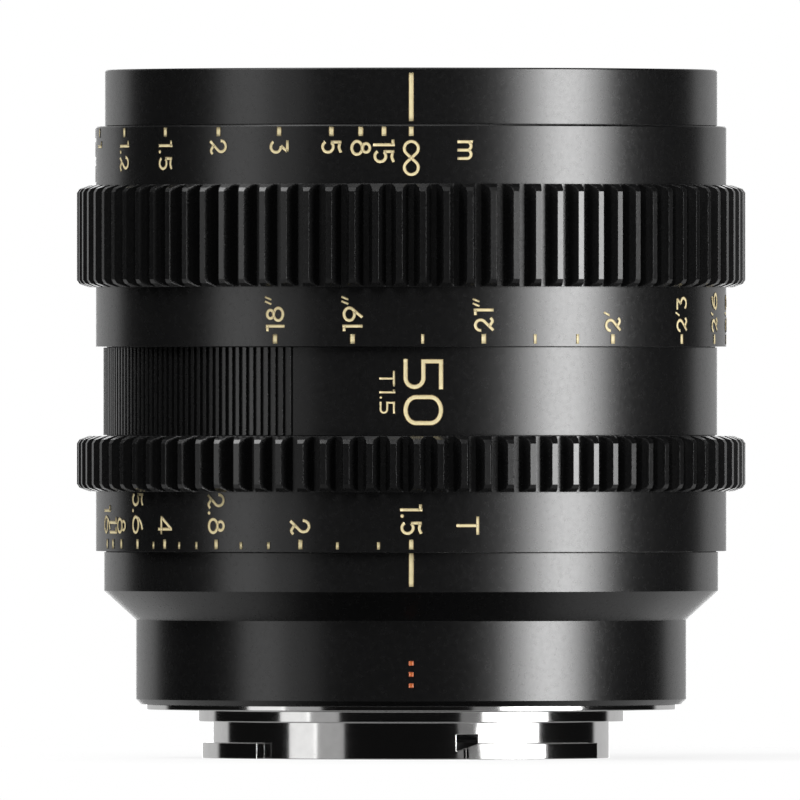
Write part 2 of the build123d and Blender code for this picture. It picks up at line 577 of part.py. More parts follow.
def against(name, side, radius):
    """Height of a metal face that all but touches a glass surface at a radius."""
    gap = PLAY if side == FRONT else -PLAY
    return surface_height(GLASS[name][side], radius) + gap


def front_cell():
    """Barrel for the three front elements, with a flange that rests on the carriage."""
    front_bore, middle_bore = FRONT_GLASS_R + RELIEF, MIDDLE_GLASS_R + RELIEF
    front_thread_r, front_thread_low = 23.45, 45.70
    middle_thread_r, middle_thread_low = 19.60, 38.20
    opening, foot, neck_r, neck_top, body_r = 13.20, 0.8, WEB_R - 0.1, 39.00, 25.00
    seat_1 = against("element_1", BACK, FRONT_GLASS_R)
    seat_3 = against("element_3", BACK, HOLLOW_BACK_R)
    return turned(
        (opening, seat_3 - foot), (neck_r, seat_3 - foot), (neck_r, neck_top), (body_r, neck_top),
        (body_r, CARRIAGE_MOUTH_LOW), (BEZEL_FOOT_R, CARRIAGE_MOUTH_LOW), (BEZEL_FOOT_R, BEZEL_LOW),
        (front_thread_r, BEZEL_LOW), (front_thread_r, front_thread_low),
        (front_bore, front_thread_low), (front_bore, seat_1), (middle_thread_r, seat_1),
        (middle_thread_r, middle_thread_low), (middle_bore, middle_thread_low),
        (middle_bore, seat_3), (opening, seat_3),
    )


def front_bezel():
    """Stepped baffle round the front element."""
    inner, outer, steps = 22.30, 28.30, 8
    rise = (BEZEL_TOP - BEZEL_LOW) / steps
    spread = (outer - inner) / (steps - 1)
    stairs = []
    for i in reversed(range(steps)):
        radius = inner + i * spread
        stairs += [(radius, BEZEL_LOW + (i + 1) * rise), (radius, BEZEL_LOW + i * rise)]
    return turned(
        (BEZEL_FOOT_R, BEZEL_LOW), (BEZEL_FOOT_R, CARRIAGE_TOP), (BEZEL_R, CARRIAGE_TOP),
        (BEZEL_R, BEZEL_TOP), *stairs,
    )


def rear_cell():
    """Barrel for the four rear elements, with the flange that closes the iris."""
    barrel_r, low, thread_r, thread_top, opening = 17.50, -2.40, 15.25, -1.00, 11.70
    bore, seat_4 = REAR_GLASS_R + RELIEF, against("element_4", FRONT, HOLLOW_FRONT_R)
    flange_top = IRIS_BASE_LOW - PLAY
    return turned(
        (opening, flange_top), (IRIS_CUP_R, flange_top), (IRIS_CUP_R, CELL_FLANGE_LOW),
        (barrel_r + 0.5, CELL_FLANGE_LOW), (barrel_r, CELL_FLANGE_LOW - 0.5), (barrel_r, low),
        (thread_r, low), (thread_r, thread_top), (bore, thread_top), (bore, seat_4), (opening, seat_4),
    )


def rear_lock_ring():
    """Threaded ring that clamps the rear cell and the iris against the carriage's web."""
    return ring(CARRIAGE_BORE_R - RELIEF, LOCK_BORE_R, LOCK_LOW, CELL_FLANGE_LOW)


def surface(curved, edge_r):
    """Half section of a glass surface, from the axis to its edge."""
    points = [(r, surface_height(curved, r)) for r in (0, edge_r / 2, edge_r)]
    return Line(points[0], points[2]) if curved[1] is None else ThreePointArc(*points)


def element(name, edge_r, front_rim=None, back_rim=None):
    """One lens element. A deep hollow ends at a rim, with a flat land round it."""
    front, back = GLASS[name]
    top = surface(front, front_rim or edge_r)
    under = surface(back, back_rim or edge_r)
    high, low = (top @ 1).Y, (under @ 1).Y
    corners = [(edge_r, high), (edge_r, low)]
    if front_rim:
        corners.insert(0, (front_rim, high))
    if back_rim:
        corners.append((back_rim, low))
    section = top + Polyline(*corners) + under + Line(under @ 0, top @ 0)
    return revolve(Plane.XZ * make_face(section), Axis.Z)


def elements():
    """Seven elements in five groups, from the front."""
    return {
        "element_1": element("element_1", FRONT_GLASS_R),
        "element_2": element("element_2", MIDDLE_GLASS_R),
        "element_3": element("element_3", MIDDLE_GLASS_R, back_rim=HOLLOW_BACK_R),
        "element_4": element("element_4", REAR_GLASS_R, front_rim=HOLLOW_FRONT_R),
        "element_5": element("element_5", REAR_GLASS_R),
        "element_6": element("element_6", REAR_GLASS_R),
        "element_7": element("element_7", REAR_GLASS_R),
    }


def retaining_ring(outer, inner, height, name, side):
    """Threaded ring that holds a glass surface by its rim."""
    face = against(name, side, inner)
    low = face if side == FRONT else face - height
    return ring(outer, inner, low, low + height)


def spacer(front_name, back_name):
    """Ring between two elements of the rear cell."""
    low = max(against(back_name, FRONT, r) for r in (SPACER_BORE_R, REAR_GLASS_R))
    high = min(against(front_name, BACK, r) for r in (SPACER_BORE_R, REAR_GLASS_R))
    return ring(REAR_GLASS_R, SPACER_BORE_R, low, high)


def lens():
    """Every piece by the name of its file."""
    pieces = {
        "front_barrel": front_barrel(),
        "front_set_screws": set_screws(FRONT_SCREW_Z, FOCUS_LAND_R),
        "guide_tube": guide_tube(),
        "mid_barrel": mid_barrel(),
        "mid_set_screws": set_screws(MID_SCREW_Z, IRIS_LAND_R),
        "rear_barrel": rear_barrel(),
        "rear_set_screws": set_screws(REAR_SCREW_Z, IRIS_LAND_R),
        "lens_mount": lens_mount(),
        "mount_screws": mount_screws(),
        "flange_shim": flange_shim(),
        "rear_baffle": rear_baffle(),
        "focus_stop_pin": focus_stop_pin(),
        "focus_ring": focus_ring(),
        "focus_cam_ring": focus_cam_ring(),
        "cam_ring_pins": cam_ring_pins(),
        "focus_thrust_ring_front": focus_thrust_ring(CAM_TOP),
        "focus_thrust_ring_rear": focus_thrust_ring(CAM_LOW - THRUST),
        "iris_ring": iris_ring(),
        "iris_fork": iris_fork(),
        "fork_screws": fork_screws(),
        "iris_thrust_ring": iris_thrust_ring(),
        "carriage": carriage(),
        "focus_followers": focus_followers(),
        "front_cell": front_cell(),
        "front_bezel": front_bezel(),
        "front_retaining_ring": retaining_ring(23.42, 21.20, 1.6, "element_1", FRONT),
        "doublet_retaining_ring": retaining_ring(19.57, 17.00, 1.5, "element_2", FRONT),
        "rear_cell": rear_cell(),
        "rear_lock_ring": rear_lock_ring(),
        "rear_retaining_ring": retaining_ring(15.22, 12.60, 1.1, "element_7", BACK),
        "spacer_5_6": spacer("element_5", "element_6"),
        "spacer_6_7": spacer("element_6", "element_7"),
        "iris_base": iris_base(),
        "iris_cover": iris_cover(),
        "iris_cam_ring": iris_cam_ring(),
    }
    pieces.update(elements())
    pieces.update({f"iris_blade_{i + 1}": iris_blade(i) for i in range(BLADES)})
    return pieces


os.makedirs("parts", exist_ok=True)
for name, piece in lens().items():
    export_step(piece, f"parts/{name}.step")
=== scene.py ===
import json
from math import acos, ceil, cos, degrees, hypot, pi, radians, sin, tan

import bpy
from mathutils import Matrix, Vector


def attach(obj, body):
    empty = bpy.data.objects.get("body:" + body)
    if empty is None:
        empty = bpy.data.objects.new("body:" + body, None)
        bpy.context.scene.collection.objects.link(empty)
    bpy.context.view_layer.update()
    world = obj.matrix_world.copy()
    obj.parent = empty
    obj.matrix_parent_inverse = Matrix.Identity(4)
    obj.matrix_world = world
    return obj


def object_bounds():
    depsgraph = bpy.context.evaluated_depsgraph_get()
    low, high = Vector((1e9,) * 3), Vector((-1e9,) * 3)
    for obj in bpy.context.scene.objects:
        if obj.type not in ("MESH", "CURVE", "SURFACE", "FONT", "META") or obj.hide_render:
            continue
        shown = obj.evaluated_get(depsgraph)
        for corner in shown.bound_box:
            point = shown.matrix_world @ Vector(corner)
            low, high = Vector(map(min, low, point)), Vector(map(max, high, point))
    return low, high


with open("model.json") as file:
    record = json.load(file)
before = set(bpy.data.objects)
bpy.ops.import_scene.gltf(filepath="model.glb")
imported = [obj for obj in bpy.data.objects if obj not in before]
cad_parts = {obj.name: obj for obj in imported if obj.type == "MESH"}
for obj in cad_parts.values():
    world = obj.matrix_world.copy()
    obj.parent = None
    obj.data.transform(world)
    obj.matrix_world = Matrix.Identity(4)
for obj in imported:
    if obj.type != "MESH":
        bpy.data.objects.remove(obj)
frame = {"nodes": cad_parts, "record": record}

cad_low, cad_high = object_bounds()

# Lengths are in mm here and become metres as each mesh is made.
MM = 0.001
UNIT = 0.108787  # a pixel of the photo, in which the large marks are drawn
STROKE = 0.335  # the usual width of a stroke
DOT = 3.8 * UNIT

# outside radii that carry marks
FRONT_R = 33.33
SLEEVE_R = 34.32
MID_R = 33.32
REAR_R = 33.42
NECK_R = 29.94

FRONT_TOP, FILTER_R, FILTER_DEPTH, FILTER_PITCH = 69.66, 31.00, 5.00, 0.75

# focus scale: turn in degrees = FOCUS_SPAN / (distance in metres - FOCUS_OFFSET)
FOCUS_SPAN, FOCUS_OFFSET = 71.83, 0.10716
# aperture scale: turn in degrees = IRIS_SPAN x (1 - T_OPEN / T)
IRIS_SPAN, T_OPEN = 81.6, 1.5

# brightness of the studio in gloss and of the unlit room
BACKDROP_IN_GLOSS, FLOOR_IN_GLOSS, ROOM_LIGHT = 0.6, 0.40, 0.006
# Where gloss sees them: the part of a direction that points back, up or down, from fade to fade.
BACKDROP_FROM, BACKDROP_TOP = (0.66, 0.73), (0.50, 0.28)
FLOOR_FROM, FLOOR_UNTIL = (0.15, 0.40), (0.84, 0.93)


def arc(centre_u, centre_v, radius_u, radius_v, start, end):
    """Points of an elliptical arc from angle start to angle end, in degrees."""
    count = max(3, ceil(abs(end - start) / 10))
    angles = [radians(start + (end - start) * i / count) for i in range(count + 1)]
    return [(centre_u + radius_u * cos(a), centre_v + radius_v * sin(a)) for a in angles]


def smooth(points, steps=6):
    """A smooth curve through the points."""
    padded = [points[0], *points, points[-1]]
    curve = []
    for before, start, end, after in zip(padded, padded[1:], padded[2:], padded[3:]):
        for i in range(steps):
            t = i / steps
            curve.append(tuple(
                0.5 * (2 * b + (c - a) * t + (2 * a - 5 * b + 4 * c - d) * t * t
                       + (3 * b - a - 3 * c + d) * t ** 3)
                for a, b, c, d in zip(before, start, end, after)
            ))
    return [*curve, points[-1]]


def infinity_path():
    """Two loops joined by the straight lines that touch both."""
    radius, apart, first, middle = 6.75, 18.4, 8.7, 10.6
    touch = degrees(acos(2 * radius / apart))
    left = arc(first, middle, radius, radius, touch, 360 - touch)
    right = arc(first + apart, middle, radius, radius, 180 - touch, touch - 180)
    return [*left, *right, left[0]]


def loop(centre_u, centre_v, radius_u, radius_v):
    return arc(centre_u, centre_v, radius_u, radius_v, 0, 360)


# Each numeral: its width, its strokes and its dots, for a cap height of 21 units.
CAP = 21.0
GLYPHS = {
    "0": (15.2, [loop(7.6, 10.5, 5.8, 8.7)], []),
    "1": (7.0, [[(5.2, 0), (5.2, 21)], [(0, 19.2), (5.2, 19.2)]], []),
    "2": (14.2, [
        [*arc(6.2, 13.7, 5.3, 5.5, 188, -38), (1.0, 0.3)],
        smooth([(4.4, 3.8), (6.6, 3.5), (9.6, 1.6), (11.6, 1.7), (13.6, 3.4)]),
    ], []),
    "3": (13.6, [
        [(0.6, 19.2), (11.8, 19.2)], [(11.2, 18.9), (6.2, 12.4)],
        arc(6.9, 7.0, 5.3, 5.3, 98, -150),
    ], []),
    "4": (17.6, [
        [(12.6, 0), (12.6, 21)], [(12.2, 20.0), (1.2, 5.4)], [(0.2, 5.4), (17.6, 5.4)],
    ], []),
    "5": (13.6, [
        [(2.5, 20.6), (2.5, 10.2)], arc(7.0, 7.0, 5.3, 5.3, 142, -150),
        smooth([(1.4, 18.9), (4.6, 18.6), (8.2, 18.2), (12.6, 20.0)]),
    ], []),
    "6": (18.4, [
        loop(9.3, 7.0, 7.4, 5.2), smooth([(2.0, 7.2), (3.4, 12.4), (8.0, 17.2), (13.9, 19.4)]),
    ], []),
    "7": (13.0, [[(0.4, 19.2), (12.2, 19.2)], [(12.0, 19.8), (4.4, 0)]], []),
    "8": (16.3, [loop(8.15, 6.9, 6.3, 5.1), loop(8.15, 15.8, 4.2, 3.6)], []),
    "9": (16.4, [loop(8.2, 13.8, 6.4, 5.4), [(14.0, 11.4), (5.0, 0.4)]], []),
    ".": (3.8, [], [(1.9, 1.9)]),
    "m": (20.8, [
        [(1.8, 0), (1.8, 16.0)],
        [*arc(6.1, 9.9, 4.3, 4.3, 175, 0), (10.4, 0)],
        [*arc(14.7, 9.9, 4.3, 4.3, 175, 0), (19.0, 0)],
    ], []),
    "T": (16.3, [[(0, 19.2), (16.3, 19.2)], [(8.15, 0), (8.15, 19.2)]], []),
    "infinity": (35.8, [infinity_path()], []),
}
GLYPH_GAP = 2.2
# the stroke that stands for feet, and twice for inches
PRIME_PATH = [(1.2, 14.8), (4.2, 22.0)]
PRIME_WIDTH, PRIME_STEP = 2.1, 4.5


class Engraving:
    """Paint-filled grooves on a cylinder of the lens.

    A path's points are (distance round the cylinder from the front line, height along the axis).
    """

    # heights over the cylinder: of the rim, of the paint from there to the middle, and the foot
    RIM, OUTER, INNER, MIDDLE, FOOT = 0.050, 0.028, 0.010, 0.004, -0.040
    # how far out the paint's heights lie, as a part of half the stroke's width
    OUTER_AT, INNER_AT = 0.74, 0.37
    PROFILE = (
        (-1.0, FOOT), (-1.0, RIM), (-OUTER_AT, OUTER), (-INNER_AT, INNER), (0.0, MIDDLE),
        (INNER_AT, INNER), (OUTER_AT, OUTER), (1.0, RIM), (1.0, FOOT),
    )
    DOT_RINGS = ((1.0, FOOT), (1.0, RIM), (OUTER_AT, OUTER), (INNER_AT, INNER))
    DOT_SIDES = 16
    # coats: the paint; a darker paint along each rim, which is painted shade at the groove's edge;
    # the black wall
    PAINT, THIN_PAINT, WALL = 0, 1, 2
    STEP, TOUCHING = 0.5, 1e-6
    # how far a sharp corner may reach
    LEAST_SQUARE, LONGEST_MITRE = 0.3, 1.9

    def __init__(self, radius):
        self.radius = radius
        self.vertices, self.faces, self.coats = [], [], []

    def place(self, across, height, lift):
        angle, reach = across / self.radius, (self.radius + lift) * MM
        return reach * sin(angle), -reach * cos(angle), height * MM

    def stroke(self, path, width=STROKE):
        """A groove along a path, closed where the path ends at its start."""
        closed = hypot(path[0][0] - path[-1][0], path[0][1] - path[-1][1]) < self.TOUCHING
        fine = []
        for start, end in zip(path, path[1:]):
            parts = max(1, ceil(hypot(end[0] - start[0], end[1] - start[1]) / self.STEP))
            for i in range(parts):
                fine.append(tuple(a + (b - a) * i / parts for a, b in zip(start, end)))
        if not closed:
            fine.append(path[-1])
        count = len(fine)
        normals = []
        for i in range(count if closed else count - 1):
            start, end = fine[i], fine[(i + 1) % count]
            run = hypot(end[0] - start[0], end[1] - start[1])
            normals.append(((start[1] - end[1]) / run, (end[0] - start[0]) / run))
        first = len(self.vertices)
        for i, point in enumerate(fine):
            before = normals[i - 1] if i or closed else normals[0]
            after = normals[i] if i < len(normals) else normals[-1]
            mitre = (before[0] + after[0], before[1] + after[1])
            square = mitre[0] ** 2 + mitre[1] ** 2
            reach = width / 2 * min(2 / max(square, self.LEAST_SQUARE), self.LONGEST_MITRE)
            for side, lift in self.PROFILE:
                self.vertices.append(self.place(
                    point[0] + mitre[0] * reach * side, point[1] + mitre[1] * reach * side, lift))
        columns = len(self.PROFILE)
        painted = [self.PAINT] * (columns - 5)
        # the two bands next to the walls take the darker paint: painted shade along the stroke's
        # edges
        coats = [self.WALL, self.THIN_PAINT, *painted, self.THIN_PAINT, self.WALL]
        for i in range(count if closed else count - 1):
            here, there = first + i * columns, first + (i + 1) % count * columns
            for j, coat in enumerate(coats):
                self.coats.append(coat)
                self.faces.append((here + j, here + j + 1, there + j + 1, there + j))
        if not closed:
            last = first + (count - 1) * columns
            for start in (first, last):
                self.coats.append(self.WALL)
                self.faces.append(tuple(start + j for j in range(columns)))

    def dot(self, centre, diameter):
        sides, first = self.DOT_SIDES, len(self.vertices)
        for reach, lift in self.DOT_RINGS:
            for i in range(sides):
                angle = 2 * pi * i / sides
                self.vertices.append(self.place(
                    centre[0] + diameter / 2 * reach * cos(angle),
                    centre[1] + diameter / 2 * reach * sin(angle), lift))
        self.vertices.append(self.place(*centre, self.MIDDLE))
        middle = len(self.vertices) - 1
        for i in range(sides):
            following = (i + 1) % sides
            # the ring next to the wall takes the darker paint: painted shade at the dot's edge
            for level, coat in enumerate((self.WALL, self.THIN_PAINT, self.PAINT)):
                low, high = first + level * sides, first + (level + 1) * sides
                self.coats.append(coat)
                self.faces.append((low + i, low + following, high + following, high + i))
            self.coats.append(self.PAINT)
            self.faces.append((first + 3 * sides + i, first + 3 * sides + following, middle))

    def tick(self, angle, top, bottom, width=STROKE):
        across = radians(angle) * self.radius
        self.stroke([(across, top), (across, bottom)], width)

    def draw(self, strokes, dots, start, size, turned, width, dot_size=DOT):
        """Glyph strokes at start, (distance round, height).

        turned is 1 for reading down and -1 for reading up.
        """
        def put(point):
            return start[0] + turned * point[1] * size, start[1] - turned * point[0] * size

        for path in strokes:
            self.stroke([put(point) for point in path], width)
        for centre in dots:
            self.dot(put(centre), dot_size)

    def write(self, text, angle, height, cap, turned, width=STROKE, from_end=False):
        """A number centred on an angle. It starts at the height, or with from_end it ends there."""
        size = cap / CAP
        letters = [text] if text in GLYPHS else [c for c in text if c in GLYPHS]
        length = sum(GLYPHS[c][0] for c in letters) + GLYPH_GAP * (len(letters) - 1)
        across = radians(angle) * self.radius - turned * cap / 2
        along = height + turned * length * size if from_end else height
        for c in letters:
            self.draw(GLYPHS[c][1], GLYPHS[c][2], (across, along), size, turned, width)
            along -= turned * (GLYPHS[c][0] + GLYPH_GAP) * size
        return across, along

    def primes(self, count, across, along, size, turned):
        for i in range(count):
            path = [(u + i * PRIME_STEP, v) for u, v in PRIME_PATH]
            self.draw([path], [], (across, along), size, turned, PRIME_WIDTH * UNIT)
        return along - turned * (PRIME_STEP * count + GLYPH_GAP) * size

    def make(self, name, body, paints):
        piece = new_piece(name, self.vertices, self.faces, [*paints, black], body)
        for polygon, coat in zip(piece.data.polygons, self.coats):
            polygon.material_index = coat
            polygon.use_smooth = coat != self.WALL
        return piece


def new_piece(name, vertices, faces, materials, body):
    mesh = bpy.data.meshes.new(name)
    mesh.from_pydata(vertices, [], faces)
    for material in materials:
        mesh.materials.append(material)
    piece = bpy.data.objects.new(name, mesh)
    bpy.context.scene.collection.objects.link(piece)
    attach(piece, body)
    return piece


class Finish:
    """A material of one Principled shader and procedural textures in the piece's own space."""

    NOISE_LOW, NOISE_HIGH = 0.3, 0.7
    BEVEL_SAMPLES = 8

    def __init__(self, name, constants):
        self.material = bpy.data.materials.new(name)
        self.material.use_nodes = True
        self.tree = self.material.node_tree
        self.shader = self.tree.nodes["Principled BSDF"]
        for socket, value in constants.items():
            self.shader.inputs[socket].default_value = value
        self.space = self.tree.nodes.new("ShaderNodeTexCoord").outputs["Object"]

    def link(self, output, target):
        self.tree.links.new(output, target)

    def noise(self, per_metre, detail=2):
        texture = self.tree.nodes.new("ShaderNodeTexNoise")
        texture.inputs["Scale"].default_value = per_metre
        texture.inputs["Detail"].default_value = detail
        self.link(self.space, texture.inputs["Vector"])
        return texture.outputs["Fac"]

    def turning_marks(self, per_metre):
        """Fine rings as a lathe tool leaves them, from the distance to the axis and the height."""
        split = self.tree.nodes.new("ShaderNodeSeparateXYZ")
        self.link(self.space, split.inputs[0])
        squares = [self.math("POWER", split.outputs[axis], 2.0) for axis in "XY"]
        radius = self.math("SQRT", self.math("ADD", *squares))
        joined = self.tree.nodes.new("ShaderNodeCombineXYZ")
        self.link(radius, joined.inputs["X"])
        self.link(split.outputs["Z"], joined.inputs["Z"])
        texture = self.tree.nodes.new("ShaderNodeTexNoise")
        texture.inputs["Scale"].default_value = per_metre
        self.link(joined.outputs[0], texture.inputs["Vector"])
        return texture.outputs["Fac"]

    def math(self, operation, first, second=None):
        node = self.tree.nodes.new("ShaderNodeMath")
        node.operation = operation
        for socket, value in zip(node.inputs, (first, second)):
            if value is None:
                continue
            if isinstance(value, float):
                socket.default_value = value
            else:
                self.link(value, socket)
        return node.outputs[0]

    def vary(self, socket, source, low, high):
        """Lets a socket go from low to high over most of the texture's range."""
        spread = self.tree.nodes.new("ShaderNodeMapRange")
        spread.inputs["From Min"].default_value = self.NOISE_LOW
        spread.inputs["From Max"].default_value = self.NOISE_HIGH
        self.link(source, spread.inputs["Value"])
        if isinstance(low, float):
            spread.inputs["To Min"].default_value = low
            spread.inputs["To Max"].default_value = high
            self.link(spread.outputs["Result"], self.shader.inputs[socket])
            return
        mix = self.tree.nodes.new("ShaderNodeMix")
        mix.data_type = "RGBA"
        mix.inputs["A"].default_value = (*low, 1)
        mix.inputs["B"].default_value = (*high, 1)
        self.link(spread.outputs["Result"], mix.inputs["Factor"])
        self.link(mix.outputs["Result"], self.shader.inputs[socket])

    def bump(self, source, depth, edge=0.0):
        """Relief of a depth in mm. With edge, corners shine as if broken by that radius."""
        node = self.tree.nodes.new("ShaderNodeBump")
        node.inputs["Distance"].default_value = depth * MM
        node.inputs["Strength"].default_value = 1.0
        self.link(source, node.inputs["Height"])
        if edge:
            rounded = self.tree.nodes.new("ShaderNodeBevel")
            rounded.samples = self.BEVEL_SAMPLES
            rounded.inputs["Radius"].default_value = edge * MM
            self.link(rounded.outputs["Normal"], node.inputs["Normal"])
        self.link(node.outputs["Normal"], self.shader.inputs["Normal"])


def anodised(name, low, high, rough_low, rough_high, grain_depth, edge=0.0):
    """Black surface with the fine grain of blasted and anodised aluminium."""
    finish = Finish(name, {"IOR": 1.62})
    grain = finish.noise(9000, detail=0)
    finish.vary("Base Color", grain, low, high)
    finish.vary("Roughness", finish.noise(1900), rough_low, rough_high)
    finish.bump(grain, grain_depth, edge=edge)
    return finish.material


def machined(name, low, high, rough_low, rough_high, marks=2600, mark_depth=0.0015, edge=0.0):
    """Bare metal with the fine rings of a lathe."""
    finish = Finish(name, {"Metallic": 1.0})
    finish.vary("Base Color", finish.noise(900), low, high)
    rings = finish.turning_marks(marks)
    finish.vary("Roughness", rings, rough_low, rough_high)
    finish.bump(rings, mark_depth, edge=edge)
    return finish.material


def paint(name, low, high):
    """Enamel that fills an engraved mark."""
    finish = Finish(name, {"IOR": 1.45})
    finish.vary("Base Color", finish.noise(900, detail=3), low, high)
    finish.vary("Roughness", finish.noise(1500), 0.32, 0.48)
    finish.bump(finish.noise(2600), 0.004)
    return finish.material


def coated_glass(name, tint, film):
    """Lens glass with one coating, whose thickness is in nanometres."""
    finish = Finish(name, {
        "Transmission Weight": 1.0, "IOR": 1.6, "Thin Film Thickness": film, "Thin Film IOR": 1.38,
    })
    finish.vary("Base Color", finish.noise(70), tint, tuple(min(1.0, c + 0.02) for c in tint))
    finish.vary("Roughness", finish.noise(500), 0.0, 0.012)
    return finish.material


def plastic(name, low, high):
    """Pale turned plastic."""
    finish = Finish(name, {"IOR": 1.4})
    finish.vary("Base Color", finish.noise(300, detail=3), low, high)
    finish.vary("Roughness", finish.noise(700, detail=3), 0.42, 0.55)
    finish.bump(finish.turning_marks(2200), 0.003)
    return finish.material


black = anodised(
    "black_anodised", (0.0030, 0.0030, 0.0031), (0.0064, 0.0064, 0.0066), 0.24, 0.28,
    grain_depth=0.0009, edge=0.03)
baffle = anodised(
    "black_baffle", (0.006, 0.006, 0.0065), (0.010, 0.010, 0.0105), 0.50, 0.60, grain_depth=0.012)
gold = (
    paint("scale_paint", (0.83, 0.715, 0.42), (0.93, 0.81, 0.49)),
    # the same paint made darker, as painted shade along each mark's rim
    paint("scale_paint_rim_shade", (0.42, 0.31, 0.15), (0.50, 0.38, 0.19)),
)
orange = (
    paint("index_paint", (0.56, 0.12, 0.022), (0.64, 0.16, 0.034)),
    # the same paint made darker, as painted shade along each mark's rim
    paint("index_paint_rim_shade", (0.30, 0.05, 0.012), (0.36, 0.07, 0.018)),
)
MATERIALS = {
    "black_anodised": black,
    "black_baffle": baffle,
    "mount_metal": machined(
        "mount_metal", (0.66, 0.655, 0.65), (0.70, 0.695, 0.69), 0.085, 0.105,
        marks=4200, mark_depth=0.00003, edge=0.16),
    "cam_metal": machined("cam_metal", (0.50, 0.50, 0.52), (0.60, 0.60, 0.62), 0.28, 0.38),
    "brass": machined("brass", (0.68, 0.52, 0.24), (0.78, 0.62, 0.32), 0.22, 0.34),
    "screw_steel": machined("screw_steel", (0.40, 0.40, 0.42), (0.52, 0.52, 0.54), 0.25, 0.38),
    "low_friction_plastic": plastic(
        "low_friction_plastic", (0.80, 0.80, 0.76), (0.88, 0.88, 0.84)),
    "blade_steel": machined(
        "blade_steel", (0.055, 0.055, 0.060), (0.085, 0.085, 0.092), 0.30, 0.42),
}
# each element's tint, and its coating's thickness in nanometres
COATINGS = {
    "element_1": ((0.95, 0.97, 0.98), 112.0),
    "element_2": ((0.96, 0.98, 0.97), 96.0),
    "element_3": ((0.97, 0.97, 0.96), 104.0),
    "element_4": ((0.97, 0.97, 0.96), 104.0),
    "element_5": ((0.96, 0.98, 0.97), 88.0),
    "element_6": ((0.96, 0.97, 0.98), 118.0),
    "element_7": ((0.95, 0.97, 0.98), 100.0),
}


def finish_nodes():
    """Gives each CAD node its material."""
    for part in frame["record"]["subparts"]:
        node = part["node"]
        if node in COATINGS:
            material = coated_glass(f"coated_glass_{node[-1]}", *COATINGS[node])
        else:
            material = MATERIALS[part["material_slot"]]
        node_object = frame["nodes"][node]
        if not node_object.material_slots:
            node_object.data.materials.append(material)
        for material_slot in node_object.material_slots:
            material_slot.material = material


def focus_angle(metres):
    """How far the distance ring turns from infinity to a distance."""
    return FOCUS_SPAN / (metres - FOCUS_OFFSET)


def iris_angle(t_number):
    """How far the iris ring turns from fully open to a T number."""
    return IRIS_SPAN * (1 - T_OPEN / t_number)


def metre_scale():
    marks = Engraving(SLEEVE_R)
    tick_top, tick_low, tick_width = 63.27, 62.25, 0.54
    text_top, cap = 61.88, 2.35
    measured = {
        "infinity": 0.0, "15": 4.92, "8": 9.14, "5": 14.53, "3": 24.54, "2": 37.35, "1.5": 50.81,
        "1.2": 64.96, "1": 80.45,
    }
    hidden = {text: focus_angle(float(text)) for text in ("0.9", "0.8", "0.7", "0.6", "0.5")}
    for text, angle in {**measured, **hidden}.items():
        marks.tick(-angle, tick_top, tick_low, tick_width)
        marks.write(text, -angle, text_top, cap, 1)
    letter_angle, letter_top, letter_cap = 10.2, 61.82, 2.20
    marks.write("m", letter_angle, letter_top, letter_cap, 1)
    marks.make("metre_scale", "focus_ring", gold)


def feet_scale():
    marks = Engraving(SLEEVE_R)
    foot = 0.3048
    tick_top, tick_low, tick_width, short_tick_width = 40.87, 39.83, 0.54, 0.33
    text_low, cap = 41.17, 2.23
    size = cap / CAP
    # Each row: the number, how many primes follow it, the inches after those, and the angle.
    numbers = [
        ("18", 2, "", -25.35), ("19", 2, "", -10.64), ("21", 2, "", 13.17), ("2", 1, "", 39.43),
        ("2", 1, "3", 58.63), ("2", 1, "6", 73.60), ("2", 1, "9", 86.2), ("3", 1, "", 95.2),
        *((str(n), 1, "", 180 - focus_angle(n * foot)) for n in (4, 5, 6, 8, 10, 15, 25)),
        ("infinity", 0, "", 180.0),
    ]
    for text, primes, inches, angle in numbers:
        marks.tick(angle, tick_top, tick_low, tick_width)
        across, along = marks.write(text, angle, text_low, cap, -1)
        along = marks.primes(primes, across, along - GLYPH_GAP * size * 0.6, size, -1)
        if inches:
            marks.write(inches, angle, along, cap, -1)
    for angle in (2.06, 22.95, 31.61):
        marks.tick(angle, tick_top, tick_low, short_tick_width)
    marks.make("feet_scale", "focus_ring", gold)


def aperture_scale():
    marks = Engraving(SLEEVE_R)
    tick_top, tick_low, tick_width = 18.67, 17.60, 0.50
    short_tick_top, short_tick_width = 18.40, 0.34
    text_low, cap = 19.19, 2.40
    for number in (1.5, 2, 2.8, 4, 5.6, 8, 11, 16):
        angle = -iris_angle(number)
        marks.tick(angle, tick_top, tick_low, tick_width)
        marks.write(str(number), angle, text_low, cap, 1, from_end=True)
    for angle in (5.91, 13.42, 26.68, 32.40, 42.57, 46.97, 54.37):
        marks.tick(-angle, short_tick_top, tick_low, short_tick_width)
    letter_angle, letter_cap = 10.3, 2.55
    marks.write("T", letter_angle, text_low, letter_cap, 1, from_end=True)
    marks.make("aperture_scale", "iris_ring", gold)


def index_lines():
    """Lines on the fixed barrel at which the scales are read."""
    width = 0.53
    for name, radius, angle, top, low in (
        ("front_index_line", FRONT_R, 0, 69.10, 63.86),
        ("mid_index_line", MID_R, 180, 39.20, 36.20),
        ("rear_index_line", REAR_R, 0, 17.21, 13.57),
    ):
        marks = Engraving(radius)
        marks.tick(angle, top, low, width)
        marks.make(name, "fixed_barrel", gold)


